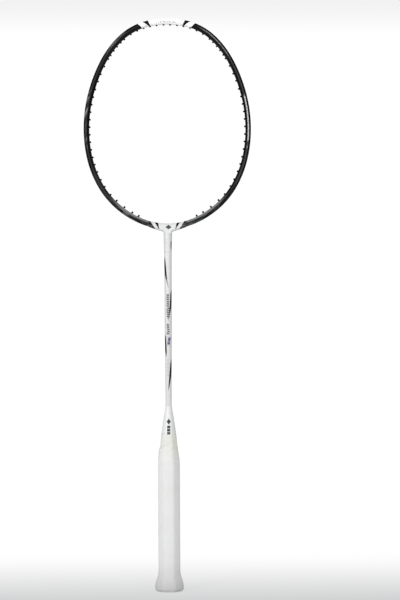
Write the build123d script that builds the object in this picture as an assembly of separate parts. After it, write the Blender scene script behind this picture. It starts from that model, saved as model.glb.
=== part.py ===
from build123d import *
import os
from collections import namedtuple
from math import sin, cos, atan2, pi, radians, degrees, sqrt, hypot

# Unstrung badminton racket, standing on the end of its handle.
# Frame: origin at the centre of the butt's end face, +Z up the shaft to the crown of the head,
# +X across the head (right), +Y square to the string plane. Millimetres and degrees.
# Angles around the head are measured from the crown; negative ones are on the left.

# ------------------------------------------------------------------ driving dimensions
# head hoop
HEAD_CENTRE_Z = 550.0          # height the centreline table is measured from
HOOP_CENTRELINE = [            # (angle from the crown, radius of the tube's centreline)
    (0, 121.75), (10, 121.47), (20, 119.31), (30, 114.63), (40, 108.82), (50, 103.43),
    (60, 99.29), (70, 96.68), (80, 95.40), (90, 95.28), (100, 96.33), (110, 98.66),
    (120, 101.94), (130, 105.83), (140, 109.73), (150, 113.29), (160, 116.32),
    (170, 118.63), (180, 119.82),
]
THROAT_Z = HEAD_CENTRE_Z - HOOP_CENTRELINE[-1][1]
ARC_NODES = [18, 36, 56, 85, 115, 148]   # angles where pairs of arcs meet, crown and throat aside
GUIDE_STEPS = 720              # samples along the right half of the guide curve
TUBE_HALF_RADIAL = 3.25        # half thickness of the tube in the plane of the head
TUBE_HALF_DEPTH = 5.1          # half thickness square to the head
TUBE_WALL = 0.95
CHANNEL_FLOOR = 2.35           # string channel floor, measured outwards from the centreline
CHANNEL_HALF_FLOOR = 1.8
CHANNEL_HALF_MOUTH = 2.15

# grommets
BORE_R = 0.55                  # string hole
BARREL_R = 1.10
HOLE_R = 1.12                  # hole drilled through the tube for a barrel
FLANGE_R = 1.6
FLANGE_T = 0.5
SEAT = CHANNEL_FLOOR + 0.02    # underside of flanges and rails, outwards from the centreline
NOSE = 1.45                    # how far a nose stands inside the hoop
NOSE_LONG = 2.3                # lower grommets
NOSE_SHORT = 0.5               # beside the joint
NOSE_LEANING = 1.1             # leaning pair beside the shaft
NOSE_TAPER_R = 0.22
NOSE_TAPER_LENGTH = 0.5
LEANING_TOP = CHANNEL_FLOOR + 1.4
CROWN_ANGLES = [1.89, 5.87, 9.67, 13.67, 17.73, 22.04]
SHOULDER_ANGLES = [27.00, 29.77, 33.03, 36.16, 39.59, 42.21]
SIDE_ANGLES = [
    47.58, 53.04, 58.23, 64.04, 69.58, 75.07, 80.54, 86.03, 91.45,
    96.92, 102.28, 107.67, 113.07, 118.17, 123.34, 129.01, 134.06, 140.32,
]
LOWER_ANGLES = [145.66, 151.94, 157.69, 162.04]
THROAT_ANGLES = [166.35, 170.35]
THROAT_INNER_ANGLE = 175.9     # the pair beside the shaft leans outwards to miss it
THROAT_LEAN = 24.0
STRIP_T = 0.5                  # rail of the shoulder strip
STRIP_HALF_W = 1.45
STRIP_END_ANGLE = 1.6          # rail beyond its end barrels

# joint and moulded wrap at the throat
STEM_R = 2.92
STEM_BOTTOM_Z = 386.0
STEM_TOP_Z = 431.0
CROSSBAR_HALF = 25.0
SLEEVE = [                     # (height, radius)
    (400.0, 4.52), (404.0, 4.55), (408.0, 4.63), (412.0, 4.80), (416.0, 4.92),
    (420.0, 4.96), (428.0, 4.98),
]
SLEEVE_CORE_R = 0.01           # pinhole that keeps the turned section off the axis
WING = [                       # (x, height) along the right wing's underside, tip to shaft
    (25.5, 431.2), (21.0, 429.0), (16.8, 427.35), (11.8, 425.75),
    (8.6, 424.75), (6.5, 424.2), (5.35, 423.3), (4.75, 421.4),
]
WING_TOP_Z = 432.0
WING_HALF_DEPTH = 4.98
WING_ROUND = 2.6
FAIRING_BORE_R = 4.05

# shaft
SHAFT_PROFILE = [              # (height, outer radius)
    (95.0, 3.53), (160.0, 3.53), (222.0, 3.54), (236.0, 3.63), (256.0, 3.72), (276.0, 3.85),
    (290.0, 3.98), (305.0, 4.12), (320.0, 4.18), (350.0, 4.20), (378.0, 4.32), (399.9, 4.50),
]
SHAFT_BOTTOM_Z = SHAFT_PROFILE[0][0]
SHAFT_NECK_R = 4.03            # under the moulded wrap
SHAFT_NECK_Z = SHAFT_PROFILE[-1][0]
NECK_BLANK_TOP_Z = 432.0       # before the hoop is cut out of it
SHAFT_BORE_BOTTOM_R = 2.45
SHAFT_BORE_TOP_R = 2.97
PLUG_LENGTH = 9.0

# handle
GRIP_W = 25.7                  # across the grip, in X
GRIP_D = 23.0                  # front to back, in Y
GRIP_T = 1.35                  # cushion grip
BACKING_T = 0.12               # adhesive layer
CORE_INSET = GRIP_T + BACKING_T
FRONT_FLAT = 0.215             # half width of the front facet as a share of the grip's width
HANDLE_TOP_Z = 150.0
BUTT_FLARE = [                 # (height, extra half width over the straight grip)
    (1.4, 3.15), (2.2, 3.80), (3.6, 4.02), (6.0, 3.95), (8.5, 3.62), (11.0, 2.98), (13.5, 2.18),
    (16.0, 1.36), (18.5, 0.70), (21.0, 0.30), (24.0, 0.07), (27.0, 0.0), (30.0, 0.0),
]
GRIP_BOTTOM_Z, BUTT_EXTRA = BUTT_FLARE[0]
FLARE_TOP_Z = BUTT_FLARE[-1][0]
FLARE_DEPTH_SHARE = 0.82       # the flare grows less front to back than side to side
GRIP_OVER_CONE = [             # (height, thickness over the cone on the left, on the right)
    (155.0, 1.46, 1.32), (160.0, 1.46, 1.06), (165.0, 1.44, 0.76),
    (169.0, 1.42, 0.52), (175.0, 1.40, 0.30),
]
GRIP_END_LEFT_Z = 168.1        # the grip's top edge runs a little obliquely across the handle
GRIP_END_RIGHT_Z = 171.0
SHAFT_SOCKET_R = 3.56
SHAFT_SOCKET_Z = 92.0
BUTT_BORE_R = 6.5
BUTT_BORE_Z = 68.0

# butt cap
CAP_T = 2.0
CAP_PLATE = [(0.0, 1.3), (0.5, 0.75), (1.38, 0.75)]     # (height, inset from the grip)
CAP_PLATE_T = CAP_PLATE[-1][0]
CAP_PLUG_LENGTH = 9.0
CAP_PLUG_WALL = 1.5            # measured from the butt bore
EMBLEM_R = 8.0
EMBLEM_T = 0.25

# cone
CONE = [                       # (height, half width, half depth, 0 round to 1 eight-sided)
    (149.9, 11.35, 9.96, 1.0), (156.0, 11.05, 9.82, 0.98), (160.0, 10.72, 9.62, 0.95),
    (164.0, 10.35, 9.38, 0.90), (168.0, 10.02, 9.16, 0.84), (172.0, 9.76, 8.98, 0.78),
    (176.0, 9.50, 8.80, 0.70), (180.0, 9.20, 8.56, 0.62), (186.0, 8.56, 8.02, 0.48),
    (192.0, 7.72, 7.32, 0.34), (198.0, 6.84, 6.56, 0.20), (204.0, 5.94, 5.78, 0.10),
    (209.0, 5.12, 5.05, 0.03), (213.0, 4.42, 4.40, 0.0), (216.0, 4.02, 4.02, 0.0),
    (218.2, 3.86, 3.86, 0.0),
]
CONE_UNDER_GRIP = CONE[:7]
CONE_BORE_R = SHAFT_SOCKET_R + 0.02
SPIGOT_TOP_Z = 184.0
SPIGOT = [                     # (radius, height) of the core's spigot inside the cone
    (0, HANDLE_TOP_Z - 5), (8.2, HANDLE_TOP_Z - 5), (8.2, 158.0),
    (6.2, SPIGOT_TOP_Z - 1), (5.4, SPIGOT_TOP_Z), (0, SPIGOT_TOP_Z),
]
CONE_CAVITY = [                # (radius, height) of the room for the spigot and shaft
    (0, HANDLE_TOP_Z - 3), (8.35, HANDLE_TOP_Z - 3), (8.35, 158.1), (6.3, SPIGOT_TOP_Z),
    (CONE_BORE_R, SPIGOT_TOP_Z + 5), (CONE_BORE_R, 222.0), (0, 222.0),
]

# finishing tape over the end of the grip
TAPE_T = 0.14
TAPE_BOTTOM_Z = 144.5
TAPE_TOP_Z = 186.0


# ------------------------------------------------------------------ helpers
def closed_spline(points):
    return Wire([Edge.make_spline([Vector(*p) for p in points], periodic=True)])


def polygon_face(points):
    return Face(Wire.make_polygon([Vector(*p) for p in points], close=True))


def eight_sided(half_w, half_d, z, blend=1.0, power=22.0, count=64):
    """Outline of a soft eight-sided section; blend 0 is an ellipse and 1 the eight-sided form."""
    flat = 2 * FRONT_FLAT * half_w
    slant = (flat + half_d) / sqrt(2)
    # (direction, distance) of each of the eight walls
    walls = [(0, half_w), (pi, half_w), (pi / 2, half_d), (3 * pi / 2, half_d)]
    walls += [(pi / 4 + k * pi / 2, slant) for k in range(4)]
    points = []
    for i in range(count):
        angle = 2 * pi * i / count
        total = sum(max(cos(angle - n), 0.0) ** power / d ** power for n, d in walls)
        eight_r = total ** (-1.0 / power)
        ellipse_r = 1.0 / hypot(cos(angle) / half_w, sin(angle) / half_d)
        radius = blend * eight_r + (1 - blend) * ellipse_r
        points.append((radius * cos(angle), radius * sin(angle), z))
    return closed_spline(points)


def cylinder(radius, z0, z1):
    return Solid.make_cylinder(radius, z1 - z0, Plane((0, 0, z0)))


def block(half_x, half_y, z0, z1):
    """Box centred on the Z axis."""
    return Solid.make_box(2 * half_x, 2 * half_y, z1 - z0, Plane((-half_x, -half_y, z0)))


def turned(profile):
    """Solid of revolution about Z from (radius, height) corners."""
    return Solid.revolve(polygon_face([(r, 0, z) for r, z in profile]), 360, Axis.Z)


def turned_smooth(outer, bore_bottom_r, bore_top_r):
    """Tube about Z: outer wall a smooth curve through (height, radius), bore a straight taper."""
    (bottom_z, bottom_r), (top_z, top_r) = outer[0], outer[-1]
    lines = [
        Edge.make_spline([Vector(r, 0, z) for z, r in outer]),
        Edge.make_line((top_r, 0, top_z), (bore_top_r, 0, top_z)),
        Edge.make_line((bore_top_r, 0, top_z), (bore_bottom_r, 0, bottom_z)),
        Edge.make_line((bore_bottom_r, 0, bottom_z), (bottom_r, 0, bottom_z)),
    ]
    return Solid.revolve(Face(Wire(lines)), 360, Axis.Z)


def one(shape):
    """The single solid in a result, or a compound of its solids."""
    solids = shape.solids()
    return solids[0] if len(solids) == 1 else Compound(children=list(solids))


def largest(shape):
    return max(shape.solids(), key=lambda s: s.volume)


def joined(solids):
    return one(solids[0].fuse(*solids[1:])) if len(solids) > 1 else solids[0]


def mirrored(shape):
    """The shape carried to the other side of the racket."""
    return shape.mirror(Plane.YZ)


def placed(solid, plane):
    return solid.moved(plane.location)


# ------------------------------------------------------------------ hoop path
# The right half of the tube's centreline is a chain of tangent arcs, crown to throat,
# fitted to a smooth guide curve through the table.
Arc = namedtuple("Arc", "from_angle to_angle start end centre")


def polar(point):
    """Angle of a point from the crown."""
    return degrees(atan2(max(point.X, 0.0), point.Z - HEAD_CENTRE_Z))


def guide_curve():
    right = []
    for angle, radius in HOOP_CENTRELINE:
        a = radians(angle)
        right.append((radius * sin(a), 0, HEAD_CENTRE_Z + radius * cos(a)))
    left = [(-x, y, z) for x, y, z in right[-2:0:-1]]
    return Edge.make_spline([Vector(*p) for p in right + left], periodic=True)


def arc_centre(start, tangent, end):
    """Centre of the circle through start with this tangent there that also passes end."""
    normal = Vector(-tangent.Z, 0, tangent.X)
    chord = end - start
    return start + normal * (chord.dot(chord) / (2 * chord.dot(normal)))


def two_arcs(p0, t0, p1, t1):
    """Two tangent arcs joining p0 and p1 with the given tangents: (start, end, centre) each."""
    chord = p1 - p0
    t_sum = t0 + t1
    spread = 2 * (1 - t0.dot(t1))
    along = chord.dot(t_sum)
    reach = (-along + sqrt(along * along + spread * chord.dot(chord))) / spread
    joint = (p0 + t0 * reach + p1 - t1 * reach) * 0.5
    return [(p0, joint, arc_centre(p0, t0, joint)), (joint, p1, arc_centre(p1, t1, joint))]


def hoop_arcs():
    guide = guide_curve()
    table = []                 # (angle, share of the guide's length)
    for i in range(GUIDE_STEPS + 1):
        share = i / (2 * GUIDE_STEPS)
        table.append((polar(guide.position_at(share)), share))

    def guide_at(angle):
        a0, u0, a1, u1 = next((a0, u0, a1, u1) for (a0, u0), (a1, u1) in zip(table, table[1:])
                              if a0 <= angle <= a1)
        u = u0 + (u1 - u0) * (angle - a0) / (a1 - a0)
        return guide.position_at(u), guide.tangent_at(u).normalized()

    # the ends lie on the axis and run square to it
    nodes = [(Vector(0, 0, guide.position_at(0).Z), Vector(1, 0, 0))]
    nodes += [guide_at(a) for a in ARC_NODES]
    nodes.append((Vector(0, 0, guide.position_at(0.5).Z), Vector(-1, 0, 0)))
    arcs = []
    for (p0, t0), (p1, t1) in zip(nodes, nodes[1:]):
        for start, end, centre in two_arcs(p0, t0, p1, t1):
            to_angle = polar(end) if end.X > 1e-6 else 180.0
            arcs.append(Arc(polar(start), to_angle, start, end, centre))
    return arcs


ARCS = hoop_arcs()


def station(angle):
    """Point on the tube's centreline at this angle, with the outward normal."""
    side = -1 if angle < 0 else 1
    angle = abs(angle)
    arc = next(a for a in ARCS if a.from_angle - 1e-9 <= angle <= a.to_angle + 1e-9)
    ray = Vector(sin(radians(angle)), 0, cos(radians(angle)))
    head_centre = Vector(0, 0, HEAD_CENTRE_Z)
    offset = head_centre - arc.centre
    arc_r = (arc.start - arc.centre).length
    along = offset.dot(ray)
    point = head_centre + ray * (-along + sqrt(along * along - offset.dot(offset) + arc_r * arc_r))
    normal = (point - arc.centre).normalized()
    return Vector(side * point.X, 0, point.Z), Vector(side * normal.X, 0, normal.Z)


# ------------------------------------------------------------------ hoop sections
def both_sides(half_corners):
    """Corners of a half section followed by their mirror images."""
    return half_corners + [(u, -v, r) for u, v, r in reversed(half_corners)]


def section(corners):
    """Closed section from corners (outwards, sideways, rounding radius)."""
    def is_at(vertex, u, v):
        return abs(vertex.X - u) < 1e-6 and abs(vertex.Y - v) < 1e-6

    face = polygon_face([(u, v, 0) for u, v, _ in corners])
    groups = {}
    for vertex in face.vertices():
        for u, v, r in corners:
            if r > 0 and is_at(vertex, u, v):
                groups.setdefault(r, []).append((u, v))
    for r, spots in groups.items():
        picked = [x for x in face.vertices() if any(is_at(x, u, v) for u, v in spots)]
        face = face.fillet_2d(r, picked)
    return face


# half sections: (outwards, sideways, rounding radius)
FULL_HALF = [                  # the tube without its channel
    (-TUBE_HALF_RADIAL, 2.05, 0.9), (-1.25, 4.72, 1.6),
    (1.05, TUBE_HALF_DEPTH, 1.5), (TUBE_HALF_RADIAL, 3.55, 0.5),
]
CHANNEL_HALF = [(TUBE_HALF_RADIAL, CHANNEL_HALF_MOUTH, 0), (CHANNEL_FLOOR, CHANNEL_HALF_FLOOR, 0)]
CAVITY_IN, CAVITY_OUT = -TUBE_HALF_RADIAL + TUBE_WALL, CHANNEL_FLOOR - TUBE_WALL
CAVITY_HALF = [(CAVITY_IN, 1.62, 0), (-1.0, 3.72, 0), (0.95, 4.05, 0), (CAVITY_OUT, 3.3, 0)]
INSERT_HALF = [                # the joint's crossbar, a loose fit in the cavity
    (CAVITY_IN + 0.04, 1.58, 0), (-0.98, 3.67, 0), (0.93, 4.0, 0), (CAVITY_OUT - 0.04, 3.26, 0),
]

full_face = section(both_sides(FULL_HALF))
outer_face = section(both_sides(FULL_HALF + CHANNEL_HALF))
tube_face = outer_face.cut(section(both_sides(CAVITY_HALF))).faces()[0]
insert_face = section(both_sides(INSERT_HALF))
strip_face = section([
    (SEAT, -STRIP_HALF_W, 0), (SEAT, STRIP_HALF_W, 0),
    (SEAT + STRIP_T, STRIP_HALF_W, 0), (SEAT + STRIP_T, -STRIP_HALF_W, 0),
])


def path_tangent(point, centre):
    """Direction of the path, crown to throat, at a point on an arc."""
    normal = (point - centre).normalized()
    return Vector(normal.Z, 0, -normal.X)


def arc_pieces(face, low=0.0, high=180.0):
    """The section carried along each right-hand arc whose span meets low to high degrees."""
    pieces = []
    for arc in ARCS:
        if arc.to_angle <= low or arc.from_angle >= high:
            continue
        centre = arc.centre
        start, end = arc.start - centre, arc.end - centre
        turn = degrees(atan2(start.cross(end).dot(Vector(0, 1, 0)), start.dot(end)))
        plane = Plane(origin=arc.start, x_dir=start.normalized(),
                      z_dir=path_tangent(arc.start, centre))
        axis = Axis((centre.X, 0, centre.Z), (0, 1, 0))
        pieces.append(Solid.revolve(plane.location * face, turn, axis))
    return pieces


def lower_hoop(face, low):
    """The section carried round the throat, on both sides, from the angle low."""
    right = arc_pieces(face, low)
    return joined(right + [mirrored(x) for x in right])


# ------------------------------------------------------------------ grommets
def axis_plane(angle, lean=0.0):
    """Plane on the centreline whose +Z points outwards along the grommet."""
    point, n = station(angle)
    if lean:
        # lean the outer end away from the shaft
        a = radians(lean) * (1 if point.X > 0 else -1)
        n = Vector(n.X * cos(a) - n.Z * sin(a), 0, n.Z * cos(a) + n.X * sin(a))
    return Plane(origin=point, x_dir=Vector(0, 1, 0), z_dir=n)


def nose_profile(nose):
    """Inner end of a sleeve along Z, where z is outwards from the centreline."""
    z_in = -TUBE_HALF_RADIAL - nose
    return [(BORE_R, z_in), (BARREL_R - NOSE_TAPER_R, z_in), (BARREL_R, z_in + NOSE_TAPER_LENGTH)]


def barrel(nose, top):
    """Sleeve without a flange."""
    return turned(nose_profile(nose) + [(BARREL_R, top), (BORE_R, top)])


def grommet(nose):
    """Flanged sleeve with softened edges."""
    top = SEAT + FLANGE_T
    return turned(nose_profile(nose) + [
        (BARREL_R, SEAT), (FLANGE_R, SEAT), (FLANGE_R, top - 0.15), (FLANGE_R - 0.2, top),
        (BORE_R + 0.25, top), (BORE_R, top - 0.25)])


def right_and_left(angles):
    return [side * a for a in angles for side in (1, -1)]


def leftward(angles):
    return [-a for a in angles]


def grommets_at(nose, angles):
    solid = grommet(nose)
    return [placed(solid, axis_plane(a)) for a in angles]


leaning_planes = [axis_plane(a, THROAT_LEAN) for a in right_and_left([THROAT_INNER_ANGLE])]
throat_planes = [axis_plane(a) for a in right_and_left(THROAT_ANGLES)] + leaning_planes


def make_throat_grommets():
    leaning = barrel(NOSE_LEANING, LEANING_TOP)
    return Compound(children=grommets_at(NOSE_SHORT, right_and_left(THROAT_ANGLES))
                    + [placed(leaning, p) for p in leaning_planes])


def make_shoulder_strip():
    """Six barrels moulded on one rail that lies in the channel, on the right side."""
    low, high = SHOULDER_ANGLES[0] - STRIP_END_ANGLE, SHOULDER_ANGLES[-1] + STRIP_END_ANGLE
    reach, half_depth = 200, 4
    corners = [(0, -half_depth, HEAD_CENTRE_Z)]
    for a in (low, high):
        corners.append((reach * sin(radians(a)), -half_depth,
                        HEAD_CENTRE_Z + reach * cos(radians(a))))
    wedge = Solid.extrude(polygon_face(corners), Vector(0, 2 * half_depth, 0))
    rail = one(joined(arc_pieces(strip_face, low, high)) & wedge)
    planes = [axis_plane(a) for a in SHOULDER_ANGLES]
    barrels = [placed(barrel(NOSE, SEAT + STRIP_T * 0.6), p) for p in planes]
    bores = [placed(cylinder(BORE_R, -6, 6), p) for p in planes]
    return one(rail.fuse(*barrels).cut(*bores))


# ------------------------------------------------------------------ hoop, joint, fairing, shaft
def make_head_frame():
    """Drilled tube: the right half's skin and its mirror image, closed into one solid."""
    drill = cylinder(HOLE_R, -TUBE_HALF_RADIAL - 1.0, TUBE_HALF_RADIAL + 1.0)
    angles = CROWN_ANGLES + SHOULDER_ANGLES + SIDE_ANGLES + LOWER_ANGLES + THROAT_ANGLES
    hole_planes = [axis_plane(a) for a in angles] + leaning_planes[:1]
    stem_hole = cylinder(STEM_R + 0.03, 420.0, THROAT_Z)
    margin = 4
    skin = []
    for arc, piece in zip(ARCS, arc_pieces(tube_face)):
        box = piece.bounding_box()
        cutters = [placed(drill, p) for p in hole_planes
                   if box.min.X - margin < p.origin.X < box.max.X + margin
                   and box.min.Z - margin < p.origin.Z < box.max.Z + margin]
        if arc.end.X < 1e-6:
            cutters.append(stem_hole)
        if cutters:
            piece = one(piece.cut(*cutters))
        # keep the skin and drop the two flat ends where neighbouring lengths meet
        ends = [(e, path_tangent(e, arc.centre)) for e in (arc.start, arc.end)]
        for face in piece.faces():
            middle = face.center()
            at_end = face.geom_type == GeomType.PLANE and any(
                abs((middle - e).dot(t)) < 1e-4
                and abs(abs(face.normal_at().dot(t)) - 1) < 1e-4
                for e, t in ends)
            if not at_end:
                skin.append(face)
    frame = Solid(Shell(skin + [mirrored(f) for f in skin]))
    # the shell may close inside out, which shows as a negative volume
    return frame.fix() if frame.volume < 0 else frame


hoop_outer = lower_hoop(outer_face, 160.0)
hoop_full = lower_hoop(full_face, 160.0)


def make_t_joint():
    """Crossbar inside the hoop with a stem down into the shaft."""
    crossbar = lower_hoop(insert_face, 165.0) & block(CROSSBAR_HALF, 8, 420, 445)
    stem = cylinder(STEM_R, STEM_BOTTOM_Z, STEM_TOP_Z)
    holes = [placed(cylinder(HOLE_R, -5, 5), p) for p in throat_planes]
    return one(one(crossbar).fuse(stem).cut(*holes))


def make_wing():
    """Web under the hoop on both sides of the shaft, with rounded lower edges."""
    under = [Vector(x, 0, z) for x, z in WING]
    under_left = [Vector(-v.X, 0, v.Z) for v in reversed(under)]
    top_left = Vector(-WING[0][0], 0, WING_TOP_Z)
    top_right = Vector(WING[0][0], 0, WING_TOP_Z)
    outline = Wire([
        Edge.make_spline(under),
        Edge.make_line(under[-1], under_left[0]),
        Edge.make_spline(under_left),
        Edge.make_line(under_left[-1], top_left),
        Edge.make_line(top_left, top_right),
        Edge.make_line(top_right, under[0]),
    ])
    wing = Solid.extrude(Face(outline), Vector(0, 2 * WING_HALF_DEPTH, 0))
    wing = wing.moved(Location((0, -WING_HALF_DEPTH, 0)))
    lower_edges = [e for e in wing.edges() if e.geom_type == GeomType.BSPLINE]
    return wing.fillet(WING_ROUND, lower_edges)


def make_throat_fairing():
    """Moulded wrap: wings and sleeve, cut to fit the hoop, the shaft and the grommets."""
    sleeve = turned_smooth(SLEEVE, SLEEVE_CORE_R, SLEEVE_CORE_R)
    trumpet = one(make_wing().fuse(sleeve))
    relief = [placed(cylinder(FLANGE_R + 0.1, 1.0, 9.0), p) for p in throat_planes]
    bore = cylinder(FAIRING_BORE_R, 399.0, 430.0)
    channel_fill = hoop_full & block(40, 3, 428.3, 440)
    return largest(trumpet.cut(hoop_outer, channel_fill).cut(bore, *relief))


def make_shaft():
    body = turned_smooth(SHAFT_PROFILE, SHAFT_BORE_BOTTOM_R, SHAFT_BORE_TOP_R)
    neck = cylinder(SHAFT_NECK_R, SHAFT_NECK_Z, NECK_BLANK_TOP_Z).cut(
        cylinder(SHAFT_BORE_TOP_R, SHAFT_NECK_Z - 1, NECK_BLANK_TOP_Z + 1))
    return largest(one(body.fuse(neck).cut(hoop_full)))


def make_shaft_end_plug():
    radius, top = SHAFT_BORE_BOTTOM_R - 0.02, SHAFT_BOTTOM_Z + PLUG_LENGTH
    return turned([(0, SHAFT_BOTTOM_Z), (radius, SHAFT_BOTTOM_Z), (radius, top - 1),
                   (SHAFT_BORE_BOTTOM_R - 0.8, top), (0, top)])


# ------------------------------------------------------------------ handle
def grip_outline(inset, extra, z):
    """Outline inset from the finished grip where the flare adds extra half width."""
    return eight_sided(GRIP_W / 2 + extra - inset,
                       GRIP_D / 2 + FLARE_DEPTH_SHARE * extra - inset, z)


def over_cone(inset):
    """Where the strip leaves the wood it lies on the cone, thinning out on the right."""
    rows = [grip_outline(inset, 0.0, HANDLE_TOP_Z)]
    for z, left, right in GRIP_OVER_CONE:
        below, above = next((a, b) for a, b in zip(CONE, CONE[1:]) if a[0] <= z <= b[0])
        t = (z - below[0]) / (above[0] - below[0])
        half_w, half_d, blend = (a + t * (b - a) for a, b in zip(below[1:], above[1:]))
        growth = (left + right) / 2 - inset
        row = eight_sided(half_w + growth, half_d + growth, z, blend)
        rows.append(row.moved(Location(((right - left) / 2, 0, 0))))
    return Solid.make_loft(rows)


def handle_form(inset, z_low, onto_cone=False):
    """Eight-sided handle with the flare of the butt, inset from the finished grip."""
    flare = [(z, extra) for z, extra in BUTT_FLARE if z >= z_low]
    if flare[0][0] > z_low:
        flare.insert(0, (z_low, flare[0][1]))
    lower = Solid.make_loft([grip_outline(inset, extra, z) for z, extra in flare])
    straight = Solid.extrude(Face(grip_outline(inset, 0.0, FLARE_TOP_Z)),
                             Vector(0, 0, HANDLE_TOP_Z - FLARE_TOP_Z))
    form = one(lower.fuse(straight))
    return one(form.fuse(over_cone(inset))) if onto_cone else form


def oblique_cut(gap):
    """Everything above the slanted end of the grip, moved up by gap."""
    slope = (GRIP_END_LEFT_Z - GRIP_END_RIGHT_Z) / GRIP_W
    reach = 30.0
    middle = (GRIP_END_LEFT_Z + GRIP_END_RIGHT_Z) / 2 + gap
    face = polygon_face([
        (-reach, -reach, middle + slope * reach), (reach, -reach, middle - slope * reach),
        (reach, -reach, middle + 90), (-reach, -reach, middle + 90)])
    return Solid.extrude(face, Vector(0, 2 * reach, 0))


def cone_form(growth, rows):
    return Solid.make_loft([eight_sided(half_w + growth, half_d + growth, z, blend)
                            for z, half_w, half_d, blend in rows])


cone_blank = cone_form(0.0, CONE)
grip_blank = handle_form(0.0, GRIP_BOTTOM_Z, onto_cone=True).cut(oblique_cut(0.0))
core_blank = handle_form(CORE_INSET, CAP_T)


def make_handle_core():
    socket = cylinder(SHAFT_SOCKET_R, SHAFT_SOCKET_Z, 200.0)
    butt_bore = cylinder(BUTT_BORE_R, 0.0, BUTT_BORE_Z)
    return one(core_blank.fuse(turned(SPIGOT)).cut(socket, butt_bore))


def make_cone_cap():
    below = block(20, 20, 140, HANDLE_TOP_Z + 0.02)
    return one(cone_blank.cut(below).cut(turned(CONE_CAVITY)))


def make_grip_backing():
    """Thin layer between the wood and the grip, stopping short at both ends."""
    blank = handle_form(GRIP_T + 0.01, GRIP_BOTTOM_Z)
    return one(blank.cut(block(40, 40, HANDLE_TOP_Z - 2.0, 200)).cut(core_blank)
               .cut(block(40, 40, 0, 2.6)))


def make_base_grip():
    inner_zone = handle_form(GRIP_T, 1.0)
    cone_zone = cone_form(BACKING_T + 0.01, CONE_UNDER_GRIP)
    return one(grip_blank.cut(inner_zone).cut(cone_zone))


def make_finishing_tape():
    """Band that follows the end of the grip and the cone above it."""
    on_grip = handle_form(-TAPE_T, GRIP_BOTTOM_Z, onto_cone=True).cut(oblique_cut(TAPE_T))
    on_cone = cone_form(TAPE_T, CONE)
    band = one(on_grip.fuse(on_cone) & block(40, 40, TAPE_BOTTOM_Z, TAPE_TOP_Z))
    inside = block(11, 9.5, TAPE_BOTTOM_Z - 1, 152)
    return largest(one(band.cut(grip_blank).cut(cone_blank).cut(inside)))


def make_butt_cap():
    """Plate over the end of the wood, with a step inside the grip and a hollow plug."""
    plate = Solid.make_loft([grip_outline(inset, BUTT_EXTRA, z) for z, inset in CAP_PLATE])
    step = Solid.extrude(Face(grip_outline(CORE_INSET + 0.12, BUTT_EXTRA, CAP_PLATE_T)),
                         Vector(0, 0, CAP_T - CAP_PLATE_T - 0.01))
    plug_top = CAP_T + CAP_PLUG_LENGTH
    plug = cylinder(BUTT_BORE_R - 0.03, CAP_T - 0.3, plug_top).cut(
        cylinder(BUTT_BORE_R - CAP_PLUG_WALL, CAP_T + 0.2, plug_top + 1))
    return one(plate.fuse(step, plug).cut(cylinder(EMBLEM_R + 0.03, -1, EMBLEM_T)))


# ------------------------------------------------------------------ write one STEP per piece
strip_right = make_shoulder_strip()

pieces = {
    "head_frame": make_head_frame(),
    "t_joint": make_t_joint(),
    "throat_fairing": make_throat_fairing(),
    "shaft": make_shaft(),
    "shaft_end_plug": make_shaft_end_plug(),
    "crown_grommets": Compound(children=grommets_at(NOSE, right_and_left(CROWN_ANGLES))),
    "shoulder_strip_left": mirrored(strip_right),
    "shoulder_strip_right": strip_right,
    "side_grommets_left": Compound(children=grommets_at(NOSE, leftward(SIDE_ANGLES))),
    "side_grommets_right": Compound(children=grommets_at(NOSE, SIDE_ANGLES)),
    "lower_grommets_left": Compound(children=grommets_at(NOSE_LONG, leftward(LOWER_ANGLES))),
    "lower_grommets_right": Compound(children=grommets_at(NOSE_LONG, LOWER_ANGLES)),
    "throat_grommets": make_throat_grommets(),
    "handle_core": make_handle_core(),
    "cone_cap": make_cone_cap(),
    "grip_backing": make_grip_backing(),
    "base_grip": make_base_grip(),
    "finishing_tape": make_finishing_tape(),
    "butt_cap": make_butt_cap(),
    "butt_emblem": cylinder(EMBLEM_R, 0.0, EMBLEM_T - 0.01),
}

os.makedirs("parts", exist_ok=True)
for name, shape in pieces.items():
    export_step(shape, f"parts/{name}.step")
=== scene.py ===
"""A badminton racket standing upright on its butt: hoop, throat, shaft, cone and wrapped grip.

The racket's axis is Z, with the butt at z = 0 and the crown near z = 675 mm. The hoop lies in the
XZ plane, the front face looks towards -Y and the racket's right is +X. Meshes and materials are
worked out in millimetres; lights and camera are in metres.
"""
import bpy
import math
from functools import cached_property, reduce
from mathutils import Vector, Matrix


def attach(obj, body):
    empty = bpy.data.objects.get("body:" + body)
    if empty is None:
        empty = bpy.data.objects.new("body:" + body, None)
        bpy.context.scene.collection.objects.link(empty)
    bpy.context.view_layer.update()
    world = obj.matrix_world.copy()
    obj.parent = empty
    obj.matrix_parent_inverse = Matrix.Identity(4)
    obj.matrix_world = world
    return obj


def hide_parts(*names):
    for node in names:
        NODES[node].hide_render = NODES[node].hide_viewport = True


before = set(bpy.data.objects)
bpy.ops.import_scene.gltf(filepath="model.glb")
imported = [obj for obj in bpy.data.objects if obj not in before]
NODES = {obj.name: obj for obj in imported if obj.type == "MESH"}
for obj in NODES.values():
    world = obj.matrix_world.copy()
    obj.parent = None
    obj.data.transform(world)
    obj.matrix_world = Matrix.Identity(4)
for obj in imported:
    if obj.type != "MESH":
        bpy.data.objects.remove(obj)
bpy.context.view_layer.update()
MM = 0.001


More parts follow.
